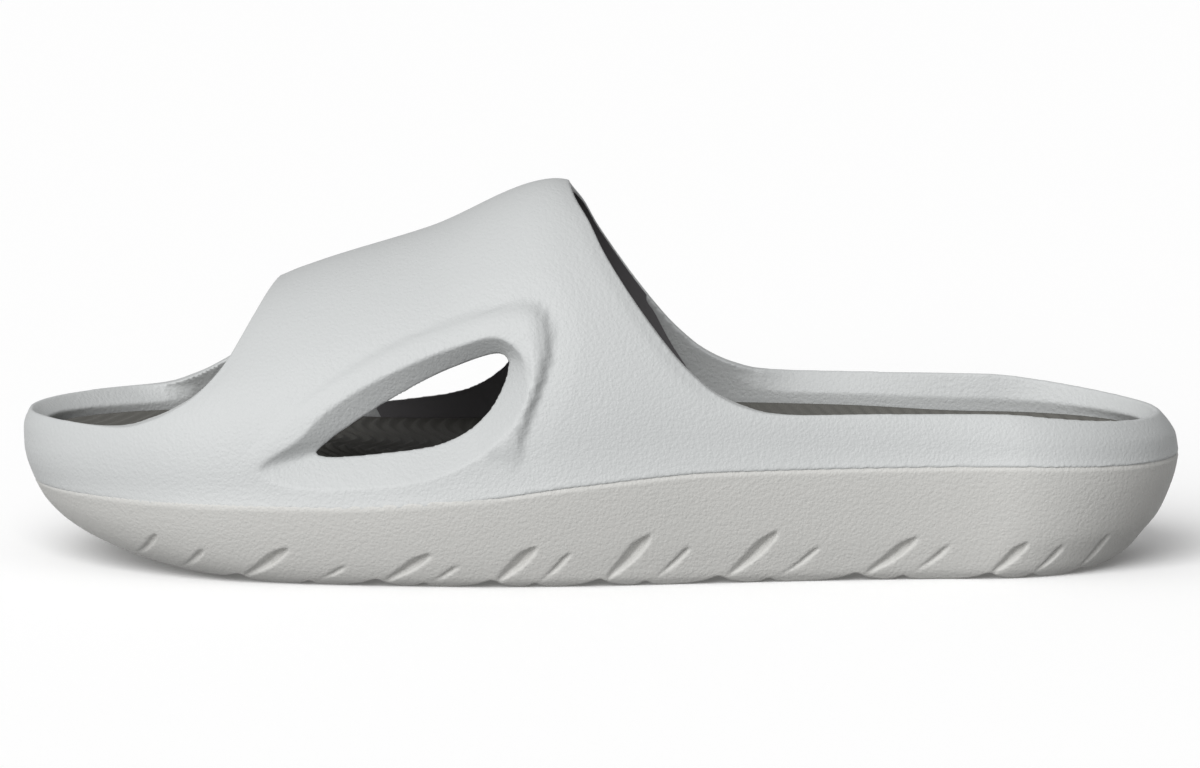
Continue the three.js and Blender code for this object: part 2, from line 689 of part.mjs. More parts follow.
// Materials
const soleFoam = new THREE.MeshStandardMaterial({ color: 0xbcbcb8, roughness: 0.62, metalness: 0 });
const upperFoam = new THREE.MeshStandardMaterial({ color: 0xcdcfd0, roughness: 0.55, metalness: 0 });
const footbedFoam = new THREE.MeshStandardMaterial({ color: 0x4a4a48, roughness: 0.8, metalness: 0 });

// The shoe stands with its box centred on the origin
const slide = new THREE.Group();
slide.add(meshOf('sole', makeSole(), soleFoam));
slide.add(meshOf('upper', makeUpper(), upperFoam));
slide.add(meshOf('footbed', makeFootbed(), footbedFoam));
const box = new THREE.Box3().setFromObject(slide);
slide.position.set(-(box.min.x + box.max.x) / 2, -(box.min.y + box.max.y) / 2, -box.min.z);

export default slide;
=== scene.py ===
# Moulded foam slide sandal, left foot, seen level from its outer side
import math

import bpy
import numpy as np
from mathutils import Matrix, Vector


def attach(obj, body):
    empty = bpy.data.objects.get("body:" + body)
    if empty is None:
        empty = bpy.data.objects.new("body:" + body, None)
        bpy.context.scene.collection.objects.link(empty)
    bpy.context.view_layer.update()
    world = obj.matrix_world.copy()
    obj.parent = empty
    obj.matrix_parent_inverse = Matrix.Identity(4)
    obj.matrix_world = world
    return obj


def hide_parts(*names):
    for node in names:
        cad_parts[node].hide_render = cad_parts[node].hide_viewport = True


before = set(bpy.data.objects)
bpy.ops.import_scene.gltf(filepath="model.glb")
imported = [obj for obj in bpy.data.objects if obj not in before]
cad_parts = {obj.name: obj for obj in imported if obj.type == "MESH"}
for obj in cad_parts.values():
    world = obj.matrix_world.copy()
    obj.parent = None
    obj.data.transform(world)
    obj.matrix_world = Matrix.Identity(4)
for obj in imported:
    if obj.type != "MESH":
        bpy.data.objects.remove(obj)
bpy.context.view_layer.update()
print("frame loaded:", ", ".join(sorted(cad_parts)))

# Shared sizes in millimetres. Along is measured from the toe tip, up from the floor.
shoe = {
    "length": 290.0,
    "ballWidth": 108.0,
    "heelWidth": 79.0,
    "strapHeight": 95.7,
    "collarHeight": 42.0,
    "toeRimHeight": 37.5,
    "creaseHeight": 28.8,
    "strapWall": 6.0,
    "collarWall": 5.0,
    "crownThinning": 0.45,
    "creaseFlare": 0.025,
    "clearance": 0.3,
    "toeCap": 60.0,
    "heelCap": 42.0,
    "toeSpring": 10.0,
    "toeSpringLength": 70.0,
    "heelSpring": 5.0,
    "heelSpringLength": 36.0,
    "middle": (145.07, 0.32),  # the box's centre, along and across
}

# Sections from toe to heel. Widths and centre are shares of the local width, crease, crown and edges of their heights.
sections = {
    "at": (0.0, 0.14, 0.26, 0.36, 0.48, 0.6, 0.72, 0.84, 1.0),
    "lateral": (0.389, 0.454, 0.481, 0.5, 0.507, 0.503, 0.503, 0.5, 0.5),
    "medial": (0.407, 0.472, 0.5, 0.495, 0.459, 0.449, 0.473, 0.5, 0.5),
    "centre": (0.06, 0.03, 0.005, 0.0, 0.0, 0.0, 0.0, 0.0, 0.0),
    "crease": (0.694, 0.688, 0.691, 0.75, 0.9, 0.993, 1.0, 1.0, 0.9375),
    "crown": (0.439, 0.648, 0.784, 0.874, 1.003, 0.92, 0.72, 0.627, 0.47),
    "fullness": (2.3, 2.3, 2.2, 2.05, 1.85, 1.8, 2.0, 2.0, 2.2),
    "edgeLateral": (0.77, 0.74, 0.69, 0.67, 0.7, 0.77, 0.79, 0.78, 0.77),
    "edgeMedial": (0.775, 0.75, 0.7, 0.69, 0.77, 0.83, 0.82, 0.78, 0.77),
    "dish": (0.3, 0.5, 0.6, 0.7, 0.8, 0.9, 1.0, 1.0, 1.0),
}

# How far toe and heel draw in above the parting line, then below it, as shares of the length
upperEnds = {
    "at": (0.0, 0.27, 0.39, 0.58, 0.8, 1.0),
    "toe": (0.01, 0.0024, 0.0008, 0.0004, 0.0062, 0.017),
    "heel": (0.0, 0.0028, 0.0069, 0.0169, 0.031, 0.052),
}
soleEnds = {
    "at": (0.0, 0.075, 0.2, 0.38, 0.65, 0.83, 1.0),
    "toe": (0.0862, 0.0655, 0.0448, 0.0297, 0.0179, 0.0134, 0.01),
    "heel": (0.0531, 0.0414, 0.031, 0.0172, 0.0069, 0.0024, 0.0),
    "side": (0.15, 0.112, 0.085, 0.058, 0.028, 0.012, 0.0),
}

# Edges of the strap, seen from the side: along is a share of the length, up of the way from the rim to the strap top
toeMouth = {
    "along": (-0.05, 0.03, 0.086, 0.113, 0.133, 0.154, 0.176, 0.194, 0.203, 0.212, 0.224, 0.23),
    "up": (0.0, 0.0, 0.006, 0.043, 0.09, 0.16, 0.284, 0.455, 0.55, 0.62, 0.72, 0.9),
    "skew": -6.5,
    "pivot": (46.4, -36.0),
    "base": 37.5,
}
heelMouth = {
    "along": (0.472, 0.479, 0.492, 0.506, 0.534, 0.561, 0.58, 0.6, 0.626, 0.658, 0.75, 0.845, 0.883, 0.931, 0.97, 1.05),
    "up": (1.08, 0.963, 0.855, 0.711, 0.482, 0.292, 0.185, 0.1, 0.038, 0.008, 0.0, -0.008, -0.028, -0.06, -0.08, -0.1),
    "skew": 1.8,
    "pivot": (159.5, -36.0),
    "base": 42.0,
}


def column(table, name):  # a smooth monotone curve through one column of a table
    at = np.array(table["at"])
    value = np.array(table[name])
    steep = np.diff(value) / np.diff(at)
    slope = np.concatenate([steep[:1], np.zeros(len(at) - 2), steep[-1:]])
    product = steep[:-1] * steep[1:]
    slope[1:-1] = np.where(product > 0, 2 * product / np.where(product > 0, steep[:-1] + steep[1:], 1), 0)

    def read(place):
        x = np.clip(np.asarray(place, float), at[0], at[-1])
        i = np.clip(np.searchsorted(at, x) - 1, 0, len(at) - 2)
        span = at[i + 1] - at[i]
        u = (x - at[i]) / span
        curve = value[i] + (value[i + 1] - value[i]) * u * u * (3 - 2 * u)
        return curve + u * (1 - u) * (1 - u) * span * slope[i] - u * u * (1 - u) * span * slope[i + 1]

    return read


lateralAt = column(sections, "lateral")
medialAt = column(sections, "medial")
centreAt = column(sections, "centre")
creaseShareAt = column(sections, "crease")
crownShareAt = column(sections, "crown")
fullnessAt = column(sections, "fullness")
edgeLateralAt = column(sections, "edgeLateral")
edgeMedialAt = column(sections, "edgeMedial")
dishAt = column(sections, "dish")
upperToeAt = column(upperEnds, "toe")
upperHeelAt = column(upperEnds, "heel")
soleToeAt = column(soleEnds, "toe")
soleHeelAt = column(soleEnds, "heel")
soleSideAt = column(soleEnds, "side")
heelRimAt = column({"at": heelMouth["along"], "up": heelMouth["up"]}, "up")


def smooth(x, low, high):
    t = np.clip((x - low) / (high - low), 0, 1)
    return t * t * (3 - 2 * t)


def creaseAt(share):
    return shoe["creaseHeight"] * creaseShareAt(share)


def crownAt(share):
    return shoe["strapHeight"] * crownShareAt(share)


def halfWidth(share, side):
    width = shoe["ballWidth"] + (shoe["heelWidth"] - shoe["ballWidth"]) * smooth(share, 0.36, 0.84)
    return width * np.where(side < 0, lateralAt(share), medialAt(share))


def roundEnd(share):
    along = share * shoe["length"]
    toToe = np.clip(1 - along / shoe["toeCap"], 0, 1)
    toHeel = np.clip(1 - (shoe["length"] - along) / shoe["heelCap"], 0, 1)
    blunt = np.where(toToe > 0, 2.4, 2.0)
    out = np.maximum(toToe, toHeel)
    return (1 - out**blunt) ** (1 / blunt)


def archWidth(share, rise):
    arch = np.sqrt(np.clip(1 - np.clip(rise, 0, 1) ** fullnessAt(share), 0, 1))
    above = np.clip(rise / 0.15, 0, 1)
    return arch * (1 - shoe["creaseFlare"] * above * (2 - above))


def wallAt(share, rise):
    wall = shoe["strapWall"] + (shoe["collarWall"] - shoe["strapWall"]) * smooth(share, 0.5, 0.7)
    return wall * (1 - shoe["crownThinning"] * rise * rise)


def alongShare(turn):
    straight = np.where(turn <= math.pi, turn / math.pi, 2 - turn / math.pi)
    return 0.4 * (1 - np.cos(turn)) + 0.2 * straight


def turns(count):
    return np.arange(count) / count * 2 * math.pi


def sideOf(turn):
    return np.where(np.sin(turn) > 0, -1, 1)


def formPoint(turn, rise, walls=0.0, extra=0.0):  # rise 0 is the parting line, 1 the crown
    share = alongShare(turn)
    side = sideOf(turn)
    inset = walls * wallAt(share, np.clip(rise, 0, None)) + extra
    toe = shoe["length"] * upperToeAt(rise) + inset
    heel = shoe["length"] * upperHeelAt(rise) + inset
    half = (halfWidth(share, side) - inset) * roundEnd(share) * archWidth(share, rise)
    along = toe + share * (shoe["length"] - toe - heel)
    across = shoe["ballWidth"] * centreAt(share) + side * half
    up = creaseAt(share) + rise * (crownAt(share) - np.clip(inset, 0, None) - creaseAt(share))
    return np.stack(np.broadcast_arrays(along, across, up), axis=-1).astype(float)


def riseAt(turn, up, walls, extra):
    share = alongShare(turn)
    inset = walls * wallAt(share, 0) + extra
    return (up - creaseAt(share)) / (crownAt(share) - inset - creaseAt(share))


def formPointAt(turn, up, walls=0.0, extra=0.0):
    points = formPoint(turn, riseAt(turn, up, walls, extra), walls, extra)
    points[:, 2] = up
    return points


def floorAt(along):
    toe = np.clip(1 - along / shoe["toeSpringLength"], 0, None)
    heel = np.clip(1 - (shoe["length"] - along) / shoe["heelSpringLength"], 0, None)
    return shoe["toeSpring"] * toe**2.2 + shoe["heelSpring"] * heel**2


def solePoint(turn, rise):  # rise 0 is the floor edge, 1 the parting line
    share = alongShare(turn)
    side = sideOf(turn)
    toe = shoe["length"] * soleToeAt(rise)
    heel = shoe["length"] * soleHeelAt(rise)
    along = toe + share * (shoe["length"] - toe - heel)
    half = halfWidth(share, side) * roundEnd(share) * (1 - soleSideAt(rise))
    low = floorAt(along)
    across = shoe["ballWidth"] * centreAt(share) + side * half
    return np.stack([along, across, low + rise * (creaseAt(share) - low)], axis=-1)


def upperY(along, up, side):
    share = along / shoe["length"]
    for _ in range(4):
        rise = (up - creaseAt(share)) / (crownAt(share) - creaseAt(share))
        toe = shoe["length"] * upperToeAt(rise)
        heel = shoe["length"] * upperHeelAt(rise)
        share = (along - toe) / (shoe["length"] - toe - heel)
    half = halfWidth(share, side) * roundEnd(share) * archWidth(share, rise)
    return shoe["ballWidth"] * centreAt(share) + side * half


def soleY(along, up, side):
    share = along / shoe["length"]
    for _ in range(4):
        rise = np.clip((up - floorAt(along)) / (creaseAt(share) - floorAt(along)), 0, 1)
        toe = shoe["length"] * soleToeAt(rise)
        heel = shoe["length"] * soleHeelAt(rise)
        share = np.clip((along - toe) / (shoe["length"] - toe - heel), 0, 1)
    half = halfWidth(share, side) * roundEnd(share) * (1 - soleSideAt(rise))
    return shoe["ballWidth"] * centreAt(share) + side * half


def skinPoint(skinY, along, up, side, out):  # a place on the skin, moved out by a distance
    step = 0.5
    across = skinY(along, up, side)
    slopeAlong = (skinY(along + step, up, side) - skinY(along - step, up, side)) / (2 * step)
    slopeUp = (skinY(along, up + step, side) - skinY(along, up - step, side)) / (2 * step)
    normal = np.stack([-slopeAlong * side, np.full_like(across, side), -slopeUp * side], axis=-1)
    normal /= np.linalg.norm(normal, axis=-1, keepdims=True)
    return np.stack([along, across, up], axis=-1) + normal * np.asarray(out)[..., None]


def rimAt(share):
    front = shoe["toeRimHeight"] + (shoe["collarHeight"] - shoe["toeRimHeight"]) * smooth(share, 0.1, 0.64)
    back = shoe["collarHeight"] + (shoe["strapHeight"] - shoe["collarHeight"]) * heelRimAt(share)
    return np.where(share > 0.64, back, front)


def footbedEdge(turn):
    share = alongShare(turn)
    blend = (1 - np.sin(turn)) / 2
    return shoe["collarHeight"] * (edgeLateralAt(share) * (1 - blend) + edgeMedialAt(share) * blend)


# Mesh helpers
def deselectAll():
    if bpy.context.mode != "OBJECT":
        bpy.ops.object.mode_set(mode="OBJECT")
    bpy.ops.object.select_all(action="DESELECT")


def makeActive(piece):
    deselectAll()
    piece.select_set(True)
    bpy.context.view_layer.objects.active = piece


def meshPiece(name, points, faces):
    placed = (np.asarray(points) - (*shoe["middle"], 0.0)) * 0.001
    mesh = bpy.data.meshes.new(name)
    mesh.from_pydata(placed.tolist(), [], faces)
    piece = bpy.data.objects.new(name, mesh)
    bpy.context.scene.collection.objects.link(piece)
    makeActive(piece)
    bpy.ops.object.mode_set(mode="EDIT")
    bpy.ops.mesh.select_all(action="SELECT")
    bpy.ops.mesh.remove_doubles(threshold=1e-6)
    bpy.ops.mesh.normals_make_consistent(inside=False)
    bpy.ops.object.mode_set(mode="OBJECT")
    return piece


def ringPiece(name, rings):  # shoe-shaped rings from low to high, closed by strips across the foot
    count = len(rings[0])
    faces = []
    for level in range(len(rings) - 1):
        low, high = level * count, (level + 1) * count
        faces += [(low + i, low + (i + 1) % count, high + (i + 1) % count, high + i) for i in range(count)]
    top = (len(rings) - 1) * count
    last = count // 2 - 1
    faces += [(0, count - 1, 1), (top, top + 1, top + count - 1)]
    for i in range(1, last):
        faces.append((i, count - i, count - i - 1, i + 1))
        faces.append((top + i, top + i + 1, top + count - i - 1, top + count - i))
    faces += [(last, last + 2, last + 1), (top + last, top + last + 1, top + last + 2)]
    return meshPiece(name, np.concatenate(rings), faces)


def loopPiece(name, loops):  # closed loops in a row, closed by a flat face at each end
    count = len(loops[0])
    faces = []
    for level in range(len(loops) - 1):
        low, high = level * count, (level + 1) * count
        faces += [(low + i, low + (i + 1) % count, high + (i + 1) % count, high + i) for i in range(count)]
    end = (len(loops) - 1) * count
    faces += [tuple(range(count - 1, -1, -1)), tuple(range(end, end + count))]
    return meshPiece(name, np.concatenate(loops), faces)


def cut(piece, cutter, solver="MANIFOLD"):
    makeActive(piece)
    bpy.ops.object.modifier_add(type="BOOLEAN")
    modifier = piece.modifiers[-1]
    modifier.operation = "DIFFERENCE"
    modifier.solver = solver
    modifier.object = cutter
    bpy.ops.object.modifier_apply(modifier=modifier.name)
    bpy.data.objects.remove(cutter)


def triangleCount(piece):
    return sum(len(polygon.vertices) - 2 for polygon in piece.data.polygons)


def soften(piece, voxel, passes, most=190000):  # moulded foam has no sharp edge: an even skin, relaxed, then thinned
    makeActive(piece)
    bpy.ops.object.modifier_add(type="REMESH")
    skin = piece.modifiers[-1]
    skin.mode = "VOXEL"
    skin.voxel_size = voxel * 0.001
    bpy.ops.object.modifier_apply(modifier=skin.name)
    bpy.ops.object.modifier_add(type="SMOOTH")
    relax = piece.modifiers[-1]
    relax.factor = 0.5
    relax.iterations = passes
    bpy.ops.object.modifier_apply(modifier=relax.name)
    bpy.ops.object.modifier_add(type="DECIMATE")
    thin = piece.modifiers[-1]
    thin.ratio = min(1.0, most / triangleCount(piece))
    bpy.ops.object.modifier_apply(modifier=thin.name)
    bpy.ops.object.shade_smooth()
    print(piece.name, "has", triangleCount(piece), "triangles")


def catmullRom(points, closed, samples):
    points = np.asarray(points, float)
    count = len(points)
    out = []
    for i in range(count if closed else count - 1):
        if closed:
            p = [points[(i + k) % count] for k in (-1, 0, 1, 2)]
            gaps = [max(1e-6, math.sqrt(np.linalg.norm(p[k + 1] - p[k]))) for k in range(3)]
        else:
            p = [points[min(max(i + k, 0), count - 1)] for k in (-1, 0, 1, 2)]
            gaps = [1.0, 1.0, 1.0]
        start = (p[1] - p[0]) / gaps[0] - (p[2] - p[0]) / (gaps[0] + gaps[1]) + (p[2] - p[1]) / gaps[1]
        end = (p[2] - p[1]) / gaps[1] - (p[3] - p[1]) / (gaps[1] + gaps[2]) + (p[3] - p[2]) / gaps[2]
        start, end = start * gaps[1], end * gaps[1]
        for k in range(samples):
            u = k / samples
            bend = (2 * u**3 - 3 * u**2 + 1) * p[1] + (u**3 - 2 * u**2 + u) * start
            out.append(bend + (3 * u**2 - 2 * u**3) * p[2] + (u**3 - u**2) * end)
    if not closed:
        out.append(points[-1])
    return np.array(out)


def nearestOn(line, flat):  # distance to a line, and the place along it in segments
    step = np.diff(line, axis=0)
    reach = flat[:, None, :] - line[None, :-1, :]
    share = np.clip((reach * step).sum(axis=2) / (step * step).sum(axis=1), 0, 1)
    gap = np.linalg.norm(reach - share[..., None] * step, axis=2)
    nearest = gap.argmin(axis=1)
    row = np.arange(len(flat))
    return gap[row, nearest], nearest + share[row, nearest], reach[row, nearest], step[nearest]


def mouthEdge(mouth):
    along = shoe["length"] * np.array(mouth["along"])
    up = mouth["base"] + np.array(mouth["up"]) * (shoe["strapHeight"] - mouth["base"])
    return catmullRom(np.stack([along, up], axis=-1), False, 8)


def fromMouth(points, mouth):  # how far points are from a mouth's edge, seen from the side
    turn = math.radians(mouth["skew"])
    dx, dy = points[:, 0] - mouth["pivot"][0], points[:, 1] - mouth["pivot"][1]
    flat = np.stack([mouth["pivot"][0] + dx * math.cos(turn) + dy * math.sin(turn), points[:, 2]], axis=-1)
    return nearestOn(mouthEdge(mouth), flat)[0]


def mouthCutter(name, mouth, shift=0.0, drop=0.0):  # a cut right across, above the edge of the strap
    edge = mouthEdge(mouth) + (shift, -drop)
    top = shoe["strapHeight"] + 60
    outline = np.concatenate([[[edge[0, 0], top]], edge, [[edge[-1, 0], top]]])
    turn = math.radians(mouth["skew"])
    px, py = mouth["pivot"]
    loops = []
    for y in (-shoe["ballWidth"], shoe["ballWidth"]):
        dx, dy = outline[:, 0] - px, y - py
        x = px + dx * math.cos(turn) - dy * math.sin(turn)
        across = py + dx * math.sin(turn) + dy * math.cos(turn)
        loops.append(np.stack([x, across, outline[:, 1]], axis=-1))
    return loopPiece(name, loops)


# Side windows. outer is the scoop's edge on the skin, inner the opening; ring is the share of the raised ring there.
window = {
    "start": 60.0,
    "medialShift": 5.5,
    "length": 65.0,
    "low": 25.7,
    "height": 37.7,
    "lip": 1.2,
    "ringRaise": 2.3,
    "ringPlaces": (0.0, 0.35, 0.65, 0.84, 0.94, 1.0),  # across the ring, from the scoop's edge to its own
    "ringHeights": (0.92, 1.0, 0.9, 0.55, 0.1, -0.22),
    "troughPlaces": (0.0, 0.8, 3.0, 7.0),  # beyond the ring's edge, in millimetres
    "troughHeights": (-0.2, -0.22, -0.12, 0.0),
    "edgeA": (-0.08, 0.115, 0.297, 0.512, 0.765, 0.909, 1.017, 1.082, 1.118, 1.12, 1.098, 1.068, 1.026, 0.982, 0.8, 0.45,
              0.1, -0.08),
    "edgeB": (0.12, 0.477, 0.708, 0.915, 1.08, 1.149, 1.185, 1.148, 1.04, 0.9, 0.74, 0.6, 0.4, 0.098, -0.12, -0.22,
              -0.15, 0.12),
    "edgeShare": (0.0, 0.15, 0.35, 0.5, 0.6, 0.75, 0.9, 1.0, 1.0, 1.0, 1.0, 0.95, 0.75, 0.0, 0.0, 0.0, 0.0, 0.0),
    "edgeRound": (0.0, 0.0, 0.0, 0.0, 0.2, 0.4, 0.7, 1.0, 1.0, 1.0, 1.0, 1.0, 1.0, 0.0, 0.0, 0.0, 0.0, 0.0),
    "outerA": (0.0, 0.154, 0.255, 0.45, 0.745, 0.925, 1.005, 1.02, 0.91, 0.695, 0.35, 0.09),
    "outerB": (0.1, 0.3, 0.47, 0.675, 0.885, 0.95, 0.84, 0.645, 0.3, 0.083, -0.01, 0.01),
    "innerA": (0.212, 0.262, 0.338, 0.508, 0.738, 0.918, 0.95, 0.926, 0.846, 0.714, 0.46, 0.262),
    "innerB": (0.22, 0.313, 0.416, 0.61, 0.815, 0.9, 0.853, 0.66, 0.454, 0.31, 0.228, 0.2),
    "samples": 14,
}


def windowLoop(which, side):
    start = window["start"] + (window["medialShift"] if side > 0 else 0)
    a = start + window["length"] * np.array(window[which + "A"])
    b = window["low"] + window["height"] * np.array(window[which + "B"])
    return catmullRom(np.stack([a, b], axis=-1), True, window["samples"])


def windowCutter(name, side, grow=0.0):
    innerLoop, outerLoop = windowLoop("inner", side), windowLoop("outer", side)
    if grow:
        middle = innerLoop.mean(axis=0)
        innerLoop = innerLoop + (innerLoop - middle) / np.linalg.norm(innerLoop - middle, axis=1)[:, None] * grow
    deep = window["lip"] - shoe["strapWall"]
    inner = skinPoint(upperY, innerLoop[:, 0], innerLoop[:, 1], side, np.full(len(innerLoop), deep))
    skin = skinPoint(upperY, outerLoop[:, 0], outerLoop[:, 1], side, np.zeros(len(outerLoop)))
    outer = skinPoint(upperY, outerLoop[:, 0], outerLoop[:, 1], side, ringLift(skin, side))
    outer = outer + (outer - inner) * 0.6
    inside = inner - (0, side * 25, 0)
    return loopPiece(name, [outer, inner, inside])


def ringLift(points, side):  # height of the raised ring and the soft trough behind it
    start = window["start"] + (window["medialShift"] if side > 0 else 0)
    a = start + window["length"] * np.array(window["edgeA"])
    b = window["low"] + window["height"] * np.array(window["edgeB"])
    edge = catmullRom(np.stack([a, b], axis=-1), False, 8)
    flat = points[:, [0, 2]]
    beyond, place, reach, ahead = nearestOn(edge, flat)
    share = np.interp(place, np.arange(len(a)) * 8, window["edgeShare"])
    outside = ahead[:, 0] * reach[:, 1] - ahead[:, 1] * reach[:, 0] > 0
    loop = windowLoop("outer", side)
    inner = nearestOn(np.concatenate([loop, loop[:1]]), flat)[0]
    across = inner / (inner + beyond)
    worn = 0.5 * np.interp(place, np.arange(len(a)) * 8, window["edgeRound"])
    body = np.interp(across, window["ringPlaces"], window["ringHeights"]) - worn * np.clip(1 - across / 0.4, 0, 1)**2
    trough = np.interp(beyond, window["troughPlaces"], window["troughHeights"])
    return window["ringRaise"] * share * np.where(outside, trough, body)


# Upper: collar, strap, rings and windows moulded whole
upper = {
    "ringPoints": 480,
    "levels": 56,
    "rim": 1.4,
    "bevelShare": 0.75,
    "toeFade": (0.055, 0.115),
    "medialFade": 0.03,
    "heelFade": (0.61, 0.68),
    "rollReach": 3.8,  # the strap's skin rolls in over this breadth at its edges
    "rollDepth": 0.9,
    "creaseBevel": (0.06, 0.38),  # half the parting line's depth and breadth, faint at the forefoot
    "voxel": 0.5,
    "passes": 2,
}


def collarBevel(turn):
    share = alongShare(turn)
    toeShare = share - upper["medialFade"] * (sideOf(turn) > 0)
    bevel = 1 - smooth(toeShare, *upper["toeFade"]) + smooth(share, *upper["heelFade"])
    rim = rimAt(share)
    height = upper["bevelShare"] * (rim - footbedEdge(turn))
    lean = bevel * (wallAt(share, 0) - upper["rim"] + shoe["clearance"])
    low = formPointAt(turn, rim - height, 1, shoe["clearance"])
    middle = formPointAt(turn, rim, 1, shoe["clearance"] - lean)
    high = formPointAt(turn, rim + 2, 1, shoe["clearance"] - lean)
    return ringPiece("bevelCutter", [low, middle, high])


def creaseBevel(turn):
    faint, crisp = upper["creaseBevel"]
    return faint + (crisp - faint) * smooth(alongShare(turn), 0.36, 0.44)


def outsideRings(turn, rises):
    bevel = creaseBevel(turn)
    rings = np.stack([formPoint(turn, 0.0, 0, bevel), formPoint(turn, 0.0)] + [formPoint(turn, r) for r in rises[1:]])
    rings[0, :, 2] += shoe["clearance"] / 2
    rings[1, :, 2] += shoe["clearance"] / 2 + bevel
    rises = np.concatenate([[0.0], rises])
    alongStep = np.roll(rings, -1, axis=1) - np.roll(rings, 1, axis=1)
    upStep = np.gradient(rings, axis=0)
    normal = np.cross(alongStep, upStep)
    normal /= np.maximum(np.linalg.norm(normal, axis=-1, keepdims=True), 1e-9)
    for side in (-1, 1):
        near = (sideOf(turn)[None, :] == side) & (rings[..., 0] > 45) & (rings[..., 0] < 150) & (rings[..., 2] > 20)
        near &= np.abs(rings[..., 1]) > 20
        points = rings[near]
        facing = normal[near] * np.sign(normal[near][:, 1:2] * side)
        rings[near] = points + facing * ringLift(points, side)[:, None]
    flat = rings.reshape(-1, 3)
    inwards = -normal.reshape(-1, 3)
    inwards *= np.sign(np.sum(inwards * ((140, 0, 20) - flat), axis=1))[:, None]
    for mouth in (toeMouth, heelMouth):
        close = 1 - smooth(fromMouth(flat, mouth), 0, upper["rollReach"])
        thin = (wallAt(0.4, np.repeat(rises, len(turn))) / shoe["strapWall"])**2
        flat = flat + inwards * (upper["rollDepth"] * thin * close**2 * smooth(flat[:, 2], 38, 52))[:, None]
    return list(flat.reshape(rings.shape))


def makeUpper():
    turn = turns(upper["ringPoints"])
    rises = np.sin(np.linspace(0, math.pi / 2, upper["levels"]))
    piece = ringPiece("upperShell", outsideRings(turn, rises))
    below = formPoint(turn, 0.0, 1)
    below[:, 2] -= shoe["creaseHeight"] / 4
    cut(piece, ringPiece("hollow", [below] + [formPoint(turn, rise, 1) for rise in rises]))
    cut(piece, collarBevel(turn))
    cut(piece, mouthCutter("toeCutter", toeMouth))
    cut(piece, mouthCutter("heelCutter", heelMouth))
    for side in (-1, 1):
        cut(piece, windowCutter("windowCutter", side))
    cut(piece, liningBlock("liningRecess", 1.0))
    soften(piece, upper["voxel"], upper["passes"])
    return piece


# Strap lining: a smooth dark layer let into the inside of the strap, thin round the windows
lining = {
    "wallShare": 0.6,
    "windowShare": 0.95,
    "windowReach": (3.0, 9.0),
    "edgeShare": 0.97,
    "edgeReach": (1.0, 13.0),
    "frontLine": ((67.0, 120.0), (67.0, 66.0), (80.0, 46.0), (88.1, 31.0), (89.9, 26.4), (92.0, 15.0)),
    "rearLine": ((300.0, 84.0), (190.0, 78.0), (162.0, 69.0), (156.6, 62.2), (158.8, 57.3), (162.8, 49.5), (166.8, 43.1),
                 (169.8, 37.8), (174.0, 20.0)),
}


def liningBlock(name, deeper):
    turn = turns(480)
    low = riseAt(turn, footbedEdge(turn) - 1.5, 1, 0)
    spread = np.sin(np.linspace(0, math.pi / 2, 48))
    outer = []
    for k in spread:
        rise = low + (1 - low) * k
        half = formPoint(turn, rise, 0.75)
        share = np.full(len(turn), lining["wallShare"])
        for side in (-1, 1):
            loop = windowLoop("inner", side)
            gap = np.linalg.norm(half[:, None, [0, 2]] - loop[None, :, :], axis=2).min(axis=1)
            near = (1 - smooth(gap, *lining["windowReach"])) * (sideOf(turn) == side)
            share = np.maximum(share, share + (lining["windowShare"] - share) * near)
        for line in (lining["frontLine"], lining["rearLine"]):
            gap = nearestOn(catmullRom(line, False, 6), half[:, [0, 2]])[0]
            share = share + (lining["edgeShare"] - share) * (1 - smooth(gap, *lining["edgeReach"]))
        outer.append(formPoint(turn, rise, share))
    inner = [formPoint(turn, low + (1 - low) * k, 1, deeper) for k in spread]
    below = inner[0].copy()
    below[:, 2] -= 3
    piece = ringPiece(name, outer)
    cut(piece, ringPiece("hollow", [below] + inner))
    for side in (-1, 1):
        cut(piece, windowCutter("windowCutter", side, 0.2))
    for line, far in ((lining["frontLine"], -20.0), (lining["rearLine"], 310.0)):
        edge = catmullRom(line, False, 6)
        outline = np.concatenate([edge, [[far, edge[-1, 1]], [far, edge[0, 1]]]])
        loops = [np.stack([outline[:, 0], np.full(len(outline), y), outline[:, 1]], axis=-1) for y in (-80.0, 80.0)]
        cut(piece, loopPiece("edgeCutter", loops))
    return piece


def makeLining():
    piece = liningBlock("strapLining", 0.05)
    cut(piece, mouthCutter("toeCutter", toeMouth, shift=0.3, drop=0.1))
    cut(piece, mouthCutter("heelCutter", heelMouth, shift=-0.2, drop=0.1))
    makeActive(piece)
    bpy.ops.object.shade_smooth_by_angle(angle=math.radians(40))
    print(piece.name, "has", triangleCount(piece), "triangles")
    return piece


# Footbed: a dished insert with fine waved ridges across it
footbed = {
    "thickness": 6.0,
    "dish": 5.0,
    "ringPoints": 840,
    "levels": 66,
    "ridgePitch": 3.5,
    "ridgeRaise": 0.4,
    "waveLength": 34.0,
    "waveReach": 3.2,
    "toeRadius": 46.0,
    "edgeRoll": 0.9,
}


def ridgePhase(along, across):
    toe = 1 - smooth(along, 25, 75)
    arcs = across**2 / (2 * footbed["toeRadius"]) * toe
    waves = footbed["waveReach"] * np.sin(across / footbed["waveLength"] * 2 * math.pi + 0.7) * (1 - 0.6 * toe)
    return (along - arcs + waves) / footbed["ridgePitch"]


